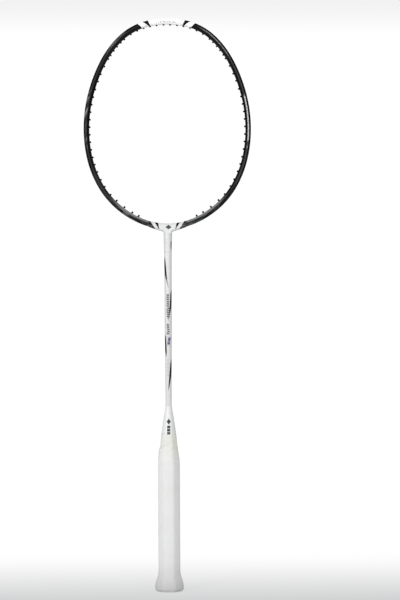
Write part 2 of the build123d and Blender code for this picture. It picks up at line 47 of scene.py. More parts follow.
# ================================================================== node helpers
class Value:
    """A number inside a node tree, with plain arithmetic."""

    def __init__(self, net, socket):
        self.net, self.socket = net, socket

    def math(self, operation, *others, clamp=False):
        node = self.net.new("Math")
        node.operation = operation
        node.use_clamp = clamp
        for i, value in enumerate((self,) + others):
            self.net.plug(node.inputs[i], value)
        return Value(self.net, node.outputs[0])

    def __add__(self, other): return self.math("ADD", other)
    def __sub__(self, other): return self.math("SUBTRACT", other)
    def __rsub__(self, other): return self.net.constant(other).math("SUBTRACT", self)
    def __mul__(self, other): return self.math("MULTIPLY", other)
    def __truediv__(self, other): return self.math("DIVIDE", other)
    def abs(self): return self.math("ABSOLUTE")
    def max(self, other): return self.math("MAXIMUM", other)
    def min(self, other): return self.math("MINIMUM", other)
    def clamp(self): return self.math("ADD", 0.0, clamp=True)
    def fraction(self): return self.math("FRACT")

    def ramp(self, low, high, below=0.0, above=1.0):
        """The value below where self is under low, above where it is over high, smooth between."""
        node = self.net.new("MapRange")
        node.interpolation_type = "SMOOTHSTEP"
        for name, value in (("Value", self), ("From Min", low), ("From Max", high),
                            ("To Min", below), ("To Max", above)):
            self.net.plug(node.inputs[name], value)
        return Value(self.net, node.outputs[0])

    def curve(self, points):
        """Free curve through (x, y) points, both from 0 to 1."""
        node = self.net.new("FloatCurve")
        self.net.plug(node.inputs["Value"], self)
        line = node.mapping.curves[0]
        line.points[0].location = points[0]
        line.points[-1].location = points[-1]
        for point in points[1:-1]:
            line.points.new(*point)
        node.mapping.update()
        return Value(self.net, node.outputs[0])

    def band(self, low, high, soft=0.1):
        """1 between low and high, with soft edges; low and high may be Values."""
        rise = (self - low).ramp(-soft, soft)
        fall = (self - high).ramp(-soft, soft)
        return rise * (1.0 - fall)


class Net:
    """An emptied node tree with an output node and helpers for filling it."""

    def __init__(self, tree, output_kind):
        self.tree = tree
        tree.nodes.clear()
        self.surface = self.new(output_kind).inputs["Surface"]

    def new(self, kind):
        return self.tree.nodes.new("ShaderNode" + kind)

    def plug(self, socket, value):
        """Feed an input from a Value, a socket, an RGB tuple or a plain number."""
        if isinstance(value, Value):
            value = value.socket
        if isinstance(value, bpy.types.NodeSocket):
            self.tree.links.new(value, socket)
        elif isinstance(value, tuple):
            socket.default_value = value + (1.0,)
        else:
            socket.default_value = value

    def constant(self, number):
        node = self.new("Value")
        node.outputs[0].default_value = number
        return Value(self, node.outputs[0])

    def separate(self, vector):
        node = self.new("SeparateXYZ")
        self.plug(node.inputs[0], vector)
        return tuple(Value(self, node.outputs[i]) for i in range(3))

    def light_source(self, kind, color, strength):
        """A Background or Emission shader."""
        node = self.new(kind)
        self.plug(node.inputs["Color"], color)
        self.plug(node.inputs["Strength"], strength)
        return node.outputs[0]

    def mix_shaders(self, share, first, second):
        node = self.new("MixShader")
        for i, value in enumerate((share, first, second)):
            self.plug(node.inputs[i], value)
        return node.outputs[0]


class Paint(Net):
    """A Principled material."""
    INPUTS = {"color": "Base Color", "rough": "Roughness", "metal": "Metallic",
              "spec": "Specular IOR Level", "alpha": "Alpha",
              "coat": "Coat Weight", "coat_rough": "Coat Roughness",
              "sheen": "Sheen Weight", "sheen_rough": "Sheen Roughness",
              "sub": "Subsurface Weight", "sub_scale": "Subsurface Scale"}

    def __init__(self, name):
        self.material = bpy.data.materials.new(name)
        self.material.use_nodes = True
        super().__init__(self.material.node_tree, "OutputMaterial")
        self.bsdf = self.new("BsdfPrincipled")
        self.plug(self.surface, self.bsdf.outputs[0])

    @cached_property
    def position(self):
        """Object position in millimetres."""
        node = self.new("VectorMath")
        node.operation = "SCALE"
        self.plug(node.inputs[0], self.new("TexCoord").outputs["Object"])
        node.inputs["Scale"].default_value = 1000.0
        return node.outputs[0]

    @cached_property
    def xyz(self):
        return self.separate(self.position)

    def attribute(self, name):
        node = self.new("Attribute")
        node.attribute_name = name
        return Value(self, node.outputs["Fac"])

    def vector(self, x, y, z):
        node = self.new("CombineXYZ")
        for i, value in enumerate((x, y, z)):
            self.plug(node.inputs[i], value)
        return node.outputs[0]

    def noise(self, vector, scale, detail=2.0, rough=0.5, distort=0.0):
        node = self.new("TexNoise")
        for name, value in (("Vector", vector), ("Scale", scale), ("Detail", detail),
                            ("Roughness", rough), ("Distortion", distort)):
            self.plug(node.inputs[name], value)
        return Value(self, node.outputs[0])

    def voronoi(self, vector, scale):
        node = self.new("TexVoronoi")
        self.plug(node.inputs["Vector"], vector)
        node.inputs["Scale"].default_value = scale
        return Value(self, node.outputs["Distance"])

    def mix(self, share, first, second):
        node = self.new("Mix")
        node.data_type = "RGBA"
        for i, value in ((0, share), (6, first), (7, second)):
            self.plug(node.inputs[i], value)
        return node.outputs[2]

    def set(self, **values):
        for key, value in values.items():
            self.plug(self.bsdf.inputs[self.INPUTS[key]], value)

    def bump(self, height, distance, strength):
        node = self.new("Bump")
        self.plug(node.inputs["Height"], height)
        node.inputs["Distance"].default_value = distance
        node.inputs["Strength"].default_value = strength
        self.plug(self.bsdf.inputs["Normal"], node.outputs[0])


# ================================================================== mesh helpers
def new_object(name, verts, faces, material):
    """Smooth-shaded object from points in millimetres."""
    mesh = bpy.data.meshes.new(name)
    mesh.from_pydata([tuple(c * MM for c in vert) for vert in verts], [], faces)
    mesh.validate()
    mesh.update()
    ob = bpy.data.objects.new(name, mesh)
    bpy.context.scene.collection.objects.link(ob)
    mesh.materials.append(material)
    mesh.polygons.foreach_set("use_smooth", [True] * len(mesh.polygons))
    mesh.update()
    return ob


def tube_object(name, rings, material, flip=False):
    """Closed tube from rings of equal length; the last ring joins the first."""
    size = len(rings[0])
    faces = []
    for i in range(len(rings)):
        here, there = i * size, (i + 1) % len(rings) * size
        for j in range(size):
            k = (j + 1) % size
            face = (here + j, here + k, there + k, there + j)
            faces.append(face[:1] + face[:0:-1] if flip else face)
    return new_object(name, [point for ring in rings for point in ring], faces, material)


def float_attribute(ob, name, values):
    ob.data.attributes.new(name, "FLOAT", "POINT").data.foreach_set("value", values)


def wrap_angles(count):
    return [2 * math.pi * i / count for i in range(count)]


def circle(angles, radius, z):
    return [(radius * math.cos(a), radius * math.sin(a), z) for a in angles]


def table_at(rows, z):
    """Smooth interpolation in a table whose first column is height."""
    if z <= rows[0][0]:
        return rows[0][1:]
    if z >= rows[-1][0]:
        return rows[-1][1:]
    for i in range(len(rows) - 1):
        if rows[i][0] <= z <= rows[i + 1][0]:
            break
    start, end = rows[i], rows[i + 1]
    before, after = rows[max(i - 1, 0)], rows[min(i + 2, len(rows) - 1)]
    step = end[0] - start[0]
    t = (z - start[0]) / step
    out = []
    for k in range(1, len(start)):
        slope_in = (end[k] - before[k]) / max(end[0] - before[0], 1e-6) * step
        slope_out = (after[k] - start[k]) / max(after[0] - start[0], 1e-6) * step
        out.append((2 * t ** 3 - 3 * t ** 2 + 1) * start[k] + (t ** 3 - 2 * t ** 2 + t) * slope_in
                   + (-2 * t ** 3 + 3 * t ** 2) * end[k] + (t ** 3 - t ** 2) * slope_out)
    return tuple(out)


def dress(piece, material):
    """Give a carried-over CAD piece its material."""
    ob = NODES[piece]
    if not ob.material_slots:
        ob.data.materials.append(material)
    for slot in ob.material_slots:
        slot.material = material


def put_in_place(ob, piece):
    """Let a new mesh stand in for a CAD piece."""
    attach(ob, "root")
    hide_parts(piece)


# ================================================================== hoop
HOOP_ARCS = [  # start x, z and centre x, z of each arc of the tube's centreline, crown to throat
    (0.0000, 671.7500, 0.0000, 567.7256), (19.0104, 669.9982, 5.9515, 599.7439),
    (37.0644, 664.0726, 7.4210, 602.7822), (52.6035, 653.7115, -10.5119, 582.5683),
    (65.3423, 639.9360, -28.3959, 569.0429), (75.6018, 623.7892, -71.9642, 546.1077),
    (83.5390, 606.3479, -90.6398, 538.8729), (90.9323, 582.7215, -62.4833, 545.6725),
    (94.8368, 558.2971, -70.8665, 544.9998), (94.9209, 532.7963, -48.7956, 543.3752),
    (90.8121, 507.6535, -23.6748, 536.9475), (79.1520, 478.7063, -4.5918, 526.1389),
    (59.6765, 454.4977, -8.3439, 530.3214), (31.9682, 436.7749, 0.0000, 510.9589),
]
HOOP_END = (0.0, 430.18)           # x, z where the last arc meets the axis
HOOP_STEP = 0.9                    # spacing of sections along the outer outline
HALF_THICK, HALF_DEEP = 3.25, 5.1  # of the section: in the hoop's plane, and along Y
HALF_SECTION = [                   # outward, depth, corner radius
    (-HALF_THICK, 2.05, 0.9), (-1.25, 4.72, 1.6), (1.05, HALF_DEEP, 1.5),
    (HALF_THICK, 3.55, 0.5), (HALF_THICK, 2.15, 0.22), (2.35, 1.8, 0.18),
]
SECTION_EDGE = 1.1                 # longest edge round the section


def hoop_stations():
    """(x, z, normal x, normal z, arc) down the right half; arc runs on the outer outline."""
    out = []
    arc = 0.0
    ends = [row[:2] for row in HOOP_ARCS[1:]] + [HOOP_END]
    for (x0, z0, cx, cz), (x1, z1) in zip(HOOP_ARCS, ends):
        radius = math.hypot(x0 - cx, z0 - cz)
        start = math.atan2(x0 - cx, z0 - cz)
        end = math.atan2(x1 - cx, z1 - cz)
        length = (radius + HALF_THICK) * (end - start)
        count = max(2, round(length / HOOP_STEP))
        for i in range(count):
            a = start + (end - start) * i / count
            out.append((cx + radius * math.sin(a), cz + radius * math.cos(a),
                        math.sin(a), math.cos(a), arc + (radius + HALF_THICK) * (a - start)))
        arc += length
    out.append(HOOP_END + (0.0, -1.0, arc))
    return out


def rounded(corners):
    """Closed outline [(u, v)] from corners (u, v, radius), with arcs at the corners."""
    out = []
    for i, (u, v, radius) in enumerate(corners):
        corner = Vector((u, v))
        back = Vector(corners[i - 1][:2]) - corner
        ahead = Vector(corners[(i + 1) % len(corners)][:2]) - corner
        back_length, ahead_length = back.length, ahead.length
        back.normalize()
        ahead.normalize()
        half_angle = back.angle(ahead) / 2
        # keep neighbouring arcs from meeting
        cut = min(radius / math.tan(half_angle), 0.47 * back_length, 0.47 * ahead_length)
        fitted = cut * math.tan(half_angle)
        centre = corner + (back + ahead).normalized() * (fitted / math.sin(half_angle))
        start = corner + back * cut - centre
        end = corner + ahead * cut - centre
        turn = math.atan2(start.x * end.y - start.y * end.x, start.dot(end))
        steps = max(2, round(6 * abs(turn) / 1.2))   # about six to every 1.2 radians
        for j in range(steps + 1):
            t = turn * j / steps
            out.append((centre.x + start.x * math.cos(t) - start.y * math.sin(t),
                        centre.y + start.x * math.sin(t) + start.y * math.cos(t)))
    return out


def subdivide(outline, longest):
    out = []
    for i, p in enumerate(outline):
        q = outline[(i + 1) % len(outline)]
        count = max(1, math.ceil(math.dist(p, q) / longest))
        for j in range(count):
            out.append((p[0] + (q[0] - p[0]) * j / count, p[1] + (q[1] - p[1]) * j / count))
    return out


def build_hoop(material):
    corners = HALF_SECTION + [(u, -v, radius) for u, v, radius in reversed(HALF_SECTION)]
    section = subdivide(rounded(corners), SECTION_EDGE)
    right = hoop_stations()
    stations = [row + (1.0,) for row in right]
    stations += [(-x, z, -nx, nz, arc, -1.0) for x, z, nx, nz, arc in right[-2:0:-1]]
    rings, marks = [], []
    for x, z, nx, nz, arc, side in stations:
        rings.append([(x + u * nx, v, z + u * nz) for u, v in section])
        marks += [(arc, side, u, v) for u, v in section]
    ob = tube_object("hoop_tube", rings, material, flip=True)
    for name, values in zip(("arc_mm", "side", "out_mm", "deep_mm"), zip(*marks)):
        float_attribute(ob, name, values)
    return ob


def hoop_lacquer():
    """Black, with a white crown and throat, and silver flashes mixed with painted highlights and
    sheen, all differing left and right.
    """
    net = Paint("hoop_lacquer")
    along, side = net.attribute("arc_mm"), net.attribute("side")
    out, deep = net.attribute("out_mm"), net.attribute("deep_mm")
    position = net.position
    x, y, z = net.xyz
    share = out / HALF_THICK
    right = side.ramp(-0.1, 0.1)
    left = 1.0 - right
    # white crown with one slanted black chip; white throat
    shifted = along + side * 0.5
    crown = 1.0 - (shifted - (share * 1.75 + 33.0)).ramp(-0.15, 0.15)
    chip = shifted.band(share * 0.9 + 21.2, share * 3.2 + 25.6, soft=0.15)
    white = (crown * (1.0 - chip)).max(throat_white(net) * along.ramp(318.0, 319.0))
    # right side: thin broken streaks along the tube, painted highlights where the lit edge of the
    # section would shine
    wobble = net.noise(net.vector(along * 0.16, side * 7.0, deep.ramp(-0.1, 0.1)),
                       scale=1.0, detail=3.0, rough=0.6) - 0.5
    wavy = out + wobble * 0.6
    grit = net.noise(net.vector(along * 0.55, out * 0.9, side), scale=1.0, detail=3.0, rough=0.65)
    cuts = grit.ramp(0.40, 0.56)
    highlight_streak = (wavy.band(-0.50, 0.92, soft=0.32) * along.band(142.0, 197.0, soft=3.0)
              * (cuts * 0.45 + 0.40) * right)
    upper_highlight = (wavy.band(-0.1, 1.1, soft=0.35) * along.band(44.0, 91.0, soft=7.0)
             * (cuts * 0.6 + 0.2) * right * 0.50)
    highlight_tail = wavy.band(-0.45, 0.75, soft=0.3) * along.band(202.5, 206.5, soft=1.2) * right * 0.30
    highlight_streak = highlight_streak.max(highlight_tail)
    # a faint painted sheen along the middle of the right side
    dim = wavy.band(0.0, 0.75, soft=0.25) * along.band(91.0, 250.0, soft=6.0) * 0.10 * right
    # left side: diagonal flicks, a painted sheen on the outer rim and faint hatching
    slant = along - out * 2.6
    flick_noise = net.noise(net.vector(slant * 0.11, side * 3.0, out * 0.12),
                            scale=1.0, detail=2.0, rough=0.5)
    flicks = (flick_noise.ramp(0.48, 0.64) * along.band(139.0, 203.0, soft=7.0)
              * out.band(-0.3, 3.2, soft=0.6) * left * 0.34)
    # painted sheen over the outer half of the left side, where the light falls
    rim = ((flick_noise.ramp(0.42, 0.60) * 0.6 + 0.4) * along.band(56.0, 84.0, soft=7.0)
           * out.band(0.5, 3.2, soft=0.5) * left * 0.16)
    hatch = ((slant * 0.62).fraction().band(0.2, 0.7, soft=0.2)
             * along.band(232.0, 282.0, soft=10.0) * out.band(-2.4, 2.8, soft=0.5) * left * 0.05)
    # both sides, low down: flame-like flashes and a pale inner edge
    low = along.band(288.0, 333.0, soft=8.0)
    flame_axis = net.vector((along - out * 4.5) * 0.05, out * 0.30 + along * 0.006, side * 2.0)
    flame_noise = net.noise(flame_axis, scale=1.0, detail=4.0, rough=0.62, distort=0.6)
    flames = (flame_noise.ramp(0.47, 0.64) * low * out.band(-3.1, 2.9, soft=0.5)
              * (left * 0.08 + 0.24))
    inner_edge = ((1.0 - out.ramp(-1.9, 0.0)) * along.ramp(264.0, 296.0)
                  * along.ramp(327.0, 331.0, below=1.0, above=0.0)
                  * (flame_noise.ramp(0.33, 0.58) * 0.35 + 0.30))
    # silver graphics together with the painted highlights and sheen above
    silver = reduce(Value.max, (highlight_streak, upper_highlight, dim, flicks, rim, hatch, flames, inner_edge))
    silver = silver.clamp() * (1.0 - white)
    # a row of small marks at the crown, and a lozenge at the throat
    faces = deep.abs().ramp(2.6, 3.2)
    cell = (x * 0.62).fraction()
    dots = (cell.band(0.16, 0.74, soft=0.08) * out.band(-1.5, 0.1, soft=0.12)
            * x.abs().band(-1.0, 10.2, soft=0.2) * along.band(-1.0, 30.0, soft=0.5))
    dot_seed = net.vector((x * 0.62).math("FLOOR"), 3.0, 1.0)
    dot_pick = net.noise(dot_seed, scale=3.7, detail=0.0).ramp(0.35, 0.5)
    dots = dots * faces * (dot_pick * 0.5 + 0.5)
    mark = throat_mark(net) * along.ramp(318.0, 319.0)

    fleck = net.voronoi(position, scale=5.0).ramp(0.0, 0.3, below=1.0, above=0.0)
    tint = net.noise(position, scale=0.05, detail=3.0)
    black = net.mix(tint, (0.0012, 0.0012, 0.0015), (0.0028, 0.0029, 0.0034))
    black = net.mix(fleck * 0.06, black, (0.05, 0.052, 0.06))
    silver_color = net.mix(grit, (0.30, 0.31, 0.33), (0.74, 0.75, 0.77))
    # the painted highlight streaks are paler still
    silver_color = net.mix(highlight_streak, silver_color, (0.78, 0.79, 0.81))
    color = net.mix(silver, black, silver_color)
    white_color = net.mix(tint, (0.70, 0.705, 0.71), (0.745, 0.748, 0.753))
    # painted highlight: the white grows brighter towards the top of the crown
    white_color = net.mix(z.ramp(620.0, 640.0), white_color, (0.93, 0.935, 0.94))
    color = net.mix(white, color, white_color)
    color = net.mix(dots * 0.85, color, (0.16, 0.16, 0.17))
    color = net.mix(mark, color, (0.015, 0.015, 0.017))
    peel = net.noise(position, scale=0.35, detail=1.0)
    scuff = net.noise(position, scale=2.2, detail=5.0, rough=0.7)
    net.set(color=color, metal=(silver - highlight_streak).max(0.0) * 0.45,
            rough=scuff.ramp(0.3, 0.75, below=0.20, above=0.28) + silver * 0.10,
            spec=white * 0.25 + 0.10, coat=white * 0.25 + 0.15,
            coat_rough=scuff.ramp(0.35, 0.7, below=0.05, above=0.12))
    net.bump(white * 0.25 + silver * 0.12 + peel * 0.4, distance=0.00002, strength=0.4)
    return net.material


# ================================================================== shaft and throat
# Each swoosh is rows of (height, edge angle, edge angle, darkness), top down.
# 0 degrees is the middle of the front, 90 the right side.
SWOOSHES = [
    [(413.1, 52, 62, 0.0), (411.4, 44, 74, 0.65), (406.7, 44, 76, 0.80), (402.6, 47, 70, 0.45),
     (400.8, 54, 62, 0.0)],
    [(394.3, -76, -68, 0.0), (389.6, -86, -42, 0.85), (384.3, -86, -35, 1.0),
     (378.4, -68, -26, 1.0), (372.5, -56, -20, 1.0), (368.9, -43, -15, 0.95),
     (365.4, -28, -8, 0.60), (360.7, -9, 5, 0.50), (356.5, 8, 13, 0.0)],
    [(356.5, 60, 66, 0.0), (352.4, 45, 80, 0.85), (347.7, 36, 84, 1.0), (343.0, 32, 80, 1.0),
     (337.1, 27, 65, 1.0), (331.2, 19, 48, 1.0), (327.6, 11, 36, 0.75), (320.5, 0, 14, 0.50),
     (317.0, 0, 4, 0.0)],
    [(302.8, -78, -70, 0.0), (299.3, -95, -42, 0.9), (295.8, -95, -38, 1.0),
     (289.9, -88, -34, 1.0), (284.0, -75, -29, 1.0), (279.3, -58, -30, 0.75),
     (275.7, -42, -34, 0.0)],
    [(273.9, 60, 66, 0.0), (269.8, 40, 80, 0.9), (266.3, 32, 82, 1.0), (260.4, 23, 72, 1.0),
     (254.5, 16, 60, 1.0), (248.6, 8, 40, 1.0), (242.7, 0, 23, 0.9), (238.0, -5, 10, 0.5),
     (235.0, 0, 2, 0.0)],
]
SHAFT = [  # height, radius
    (95.0, 3.53), (160.0, 3.53), (222.0, 3.54), (236.0, 3.63), (256.0, 3.72), (276.0, 3.85),
    (290.0, 3.98), (305.0, 4.12), (320.0, 4.18), (350.0, 4.20), (378.0, 4.32), (399.9, 4.50),
]


def swoosh_masks(net):
    """Thin swooshes that wrap round the shaft; a half turn of the racket shows the same ones."""
    x, y, z = net.xyz
    theta = x.math("ARCTAN2", y * -1.0) * (180.0 / math.pi)
    masks = []
    for rows in SWOOSHES:
        top, bottom = rows[0][0], rows[-1][0]
        height = ((z - bottom) / (top - bottom)).clamp()
        # curves run from 0 to 1: centres span -100 to 100 degrees, half widths 0 to 40
        centres, halves, darks = [], [], []
        for row_z, edge, other_edge, darkness in reversed(rows):
            at = (row_z - bottom) / (top - bottom)
            centres.append((at, ((edge + other_edge) / 2 + 100.0) / 200.0))
            halves.append((at, (other_edge - edge) / 2 / 40.0))
            darks.append((at, darkness))
        centre = height.curve(centres) * 200.0 - 100.0
        half = height.curve(halves) * 40.0
        dark = height.curve(darks)
        away = (theta - centre).math("WRAP", 90.0, -90.0).abs()
        masks.append((1.0 - (away - half).ramp(-2.5, 2.5)) * dark
                     * z.band(bottom, top, soft=0.2))
    return reduce(Value.max, masks)


def throat_white(net):
    """All inside a slanted line on each side of the throat, less one slanted stripe."""
    x, y, z = net.xyz
    aside, rise = (x + 0.45).abs(), z - 427.3
    inside = 1.0 - (aside - (rise * 0.64 + 14.4)).ramp(-0.12, 0.12)
    stripe = (aside.band(rise * 0.23 + 9.4, rise * 0.58 + 10.5, soft=0.12)
              * z.ramp(426.9, 427.2))
    return inside * (1.0 - stripe)


def face_x(net):
    """x as seen from the nearer face, so that prints read alike on front and back."""
    x, y, z = net.xyz
    return x * y.ramp(-0.05, 0.05, below=1.0, above=-1.0)


def throat_mark(net):
    """One small plain lozenge on each face."""
    x, y, z = net.xyz
    distance = (face_x(net) - 0.9).abs() / 3.9 + (z - 429.0).abs() / 2.7
    return (1.0 - distance.ramp(0.92, 1.0)) * y.abs().ramp(3.0, 3.6)


def white_color(net):
    tint = net.noise(net.position, scale=0.04, detail=3.0)
    return net.mix(tint, (0.675, 0.679, 0.684), (0.715, 0.718, 0.723))


def finish_white(net, color, printed=None):
    """Lay the swooshes over the colour and set the gloss; printed is a mask raised a little."""
    peel = net.noise(net.position, scale=0.35, detail=1.0)
    scuff = net.noise(net.position, scale=1.7, detail=5.0, rough=0.7)
    swoosh = swoosh_masks(net)
    relief = peel * 0.4
    if printed is not None:
        relief = relief + printed * 0.25
    net.set(color=net.mix(swoosh, color, (0.008, 0.008, 0.010)), spec=0.40, coat=0.45,
            rough=scuff.ramp(0.3, 0.75, below=0.24, above=0.34),
            coat_rough=scuff.ramp(0.35, 0.7, below=0.04, above=0.10))
    net.bump(relief + swoosh * 0.3, distance=0.00002, strength=0.4)
    return net.material


def shaft_lacquer():
    net = Paint("shaft_lacquer")
    x, y, z = net.xyz
    across = face_x(net)
    # a column of slanted dashes of uneven length
    cell = z * 0.40 + across * 0.16
    pick = net.noise(net.vector(cell.math("FLOOR") * 1.7, 5.0, 2.0), scale=2.3, detail=0.0)
    dash_left = pick.ramp(0.35, 0.65, below=-1.9, above=-1.1)
    dash_right = pick.ramp(0.35, 0.65, below=1.1, above=1.7)
    dash = (cell.fraction().band(0.06, 0.80, soft=0.07)
            * across.band(dash_left, dash_right, soft=0.12))
    dash = dash * z.band(321.5, 350.5, soft=0.2).max(z.band(302.0, 315.5, soft=0.2))
    # smaller, paler dashes below
    small_right = pick.ramp(0.3, 0.7, below=0.1, above=0.8)
    small = ((z * 0.62).fraction().band(0.2, 0.78, soft=0.08) * across.band(-1.3, small_right)
             * z.band(253.0, 274.5, soft=0.2))
    # a small slanted indigo block on a lavender patch
    slanted = across - (z - 295.0) * 0.16
    block = (slanted.band(-0.6, 2.3, soft=0.15) * z.band(290.6, 299.0, soft=0.2)
             * (1.0 - z.band(293.9, 294.7, soft=0.12) * 0.7))
    patch = across.band(-3.0, 2.6, soft=0.5) * z.band(288.4, 300.6, soft=0.5)
    color = net.mix(patch * 0.30, white_color(net), (0.36, 0.34, 0.52))
    color = net.mix(block * 0.88, color, (0.065, 0.050, 0.150))
    color = net.mix(dash * 0.92, color, (0.055, 0.055, 0.062))
    color = net.mix(small * 0.50, color, (0.22, 0.22, 0.25))
    return finish_white(net, color, printed=dash.max(block))


def throat_lacquer():
    """White, but the black of the hoop runs on over the outer ends of the fairing."""
    net = Paint("throat_lacquer")
    x, y, z = net.xyz
    white = throat_white(net).max((z - 400.0).ramp(20.0, 21.0, below=1.0, above=0.0))
    flame_axis = net.vector(x.abs() * 0.55 + z * 0.6, z * 0.25, x.ramp(-0.1, 0.1) * 5.0)
    flame = net.noise(flame_axis, scale=1.0, detail=4.0, rough=0.6)
    black = net.mix(flame.ramp(0.48, 0.66) * 0.7, (0.006, 0.006, 0.007), (0.34, 0.35, 0.37))
    color = net.mix(white, black, white_color(net))
    color = net.mix(throat_mark(net), color, (0.015, 0.015, 0.017))
    return finish_white(net, color)


def build_shaft(material):
    """Hollow tube with a thinner spigot at its top."""
    profile = [(3.30, 95.0), (3.53, 95.3)]   # radius, height
    z = 95.3
    while z < 399.0:
        profile.append((table_at(SHAFT, z)[0], z))
        z += 2.0
    # top rim, spigot, then down the bore
    profile += [(4.49, 399.6), (4.50, 399.9), (4.03, 399.95), (4.03, 425.8), (3.0, 425.8),
                (2.97, 399.0), (2.45, 95.0)]
    angles = wrap_angles(96)
    return tube_object("shaft_tube", [circle(angles, r, z) for r, z in profile], material)


# ================================================================== plastics, wood and the rest
def moulded(name, first, second, rough, grain, depth=0.00003, **extra):
    """Plain material clouded between two colours, with a fine grain of the given scale."""
    net = Paint(name)
    tint = net.noise(net.position, scale=0.09, detail=3.0)
    fine = net.noise(net.position, scale=grain, detail=3.0, rough=0.6)
    net.set(color=net.mix(tint, first, second),
            rough=fine.ramp(0.3, 0.7, below=rough[0], above=rough[1]), **extra)
    net.bump(fine, distance=depth, strength=0.5)
    return net.material


def cone_plastic():
    net = Paint("cone_plastic")
    x, y, z = net.xyz
    tint = net.noise(net.position, scale=0.07, detail=3.0)
    fine = net.noise(net.position, scale=3.0, detail=4.0, rough=0.6)
    color = net.mix(tint, (0.735, 0.74, 0.742), (0.785, 0.787, 0.79))
    # one lozenge over three blocks, on each broad face
    aside = (face_x(net) - 0.05).abs()
    lozenge = 1.0 - ((z - 200.0).abs() / 3.8 + aside / 2.5).ramp(0.93, 1.0)
    foot, pitch, count = 184.6, 3.7, 3
    blocks = (((z - foot) / pitch).fraction().band(0.05, 0.88, soft=0.05)
              * z.band(foot, foot + count * pitch) * (face_x(net) - 0.05).abs().band(-1.0, 1.9))
    mark = lozenge.max(blocks) * y.abs().ramp(2.0, 3.0)
    net.set(color=net.mix(mark, color, (0.014, 0.014, 0.015)),
            rough=fine.ramp(0.3, 0.7, below=0.30, above=0.42),
            spec=0.45, coat=0.25, coat_rough=0.15)
    net.bump(fine * 0.4 + mark * 0.5, distance=0.00003, strength=0.4)
    return net.material


def handle_wood():
    """Wood with its grain along the handle."""
    net = Paint("handle_wood")
    x, y, z = net.xyz
    rings = net.noise(net.vector(x * 0.35, y * 0.35, z * 0.02),
                      scale=1.4, detail=4.0, rough=0.6, distort=0.4)
    pores = net.noise(net.vector(x * 3.0, y * 3.0, z * 0.12), scale=1.0, detail=3.0, rough=0.6)
    color = net.mix(rings.ramp(0.3, 0.7), (0.42, 0.27, 0.13), (0.62, 0.44, 0.24))
    color = net.mix(pores.ramp(0.55, 0.7) * 0.4, color, (0.25, 0.15, 0.07))
    net.set(color=color, rough=0.6)
    net.bump(pores, distance=0.00008, strength=0.6)
    return net.material


def grip_polyurethane():
    """Smooth white: very fine leather grain, the spiral joint only just showing."""
    net = Paint("grip_polyurethane")
    x, y, z = net.xyz
    grain = net.voronoi(net.position, scale=1.9)
    fine = net.noise(net.position, scale=4.0, detail=4.0, rough=0.6)
    cloud = net.noise(net.position, scale=0.035, detail=4.0, rough=0.55)
    color = net.mix(cloud.ramp(0.3, 0.7), (0.755, 0.755, 0.752), (0.785, 0.786, 0.785))
    color = net.mix(net.attribute("seam") * 0.06, color, (0.60, 0.60, 0.59))
    # painted shade: darker towards the bottom of the grip, near the floor
    color = net.mix(1.0 - z.ramp(2.0, 40.0), color, (0.547, 0.547, 0.547))
    net.set(color=color, rough=fine.ramp(0.3, 0.7, below=0.46, above=0.56), spec=0.35,
            sheen=0.08, sheen_rough=0.4, sub=0.05, sub_scale=0.0012)
    net.bump(grain * 0.5 + fine * 0.5, distance=0.00003, strength=0.25)
    return net.material


def tape_film():
    """Clear film with a faint yellow-green cast, strongest on the right and up the cone."""
    net = Paint("finishing_tape_film")
    x, y, z = net.xyz
    wrinkle = net.noise(net.vector(x * 0.25, y * 0.25, z * 0.9),
                        scale=1.0, detail=4.0, rough=0.6, distort=0.5)
    cast = (x.ramp(-9.0, 9.0) * 0.55 + wrinkle.ramp(0.35, 0.7) * 0.25
            + z.ramp(172.0, 186.0) * 0.20).clamp()
    # the film is thinner to shadow rays, so that it hardly shades what it covers
    shadow_ray = Value(net, net.new("LightPath").outputs["Is Shadow Ray"])
    alpha = (z.ramp(146.0, 178.0, below=0.0, above=0.42)
             * z.ramp(181.0, 186.0, below=1.0, above=0.25) * (1.0 - shadow_ray * 0.45))
    net.set(color=net.mix(cast, (0.90, 0.902, 0.875), (0.885, 0.895, 0.775)), alpha=alpha,
            rough=wrinkle.ramp(0.3, 0.7, below=0.32, above=0.44),
            spec=0.4, coat=0.15, coat_rough=0.2)
    net.bump(wrinkle, distance=0.00006, strength=0.4)
    return net.material


def butt_disc():
    """Brushed grey disc with a pale ring round six pale petals."""
    net = Paint("butt_disc")
    x, y, z = net.xyz
    radius = (x * x + y * y).math("SQRT")
    angle = y.math("ARCTAN2", x)
    ring = radius.band(6.1, 6.9, soft=0.08)
    petals = ((angle * (6.0 / (2 * math.pi))).fraction().band(0.18, 0.82, soft=0.04)
              * radius.band(2.2, 4.9, soft=0.08))
    pattern = ring.max(petals)
    brush = net.noise(net.vector(x * 0.3, y * 4.0, 0.0), scale=1.0, detail=3.0)
    color = net.mix(brush, (0.23, 0.24, 0.26), (0.30, 0.31, 0.33))
    net.set(color=net.mix(pattern, color, (0.72, 0.73, 0.74)),
            rough=brush.ramp(0.3, 0.7, below=0.25, above=0.38), metal=0.3, coat=0.5)
    net.bump(ring.max(petals) * 0.5 + brush * 0.3, distance=0.00004, strength=0.5)
    return net.material


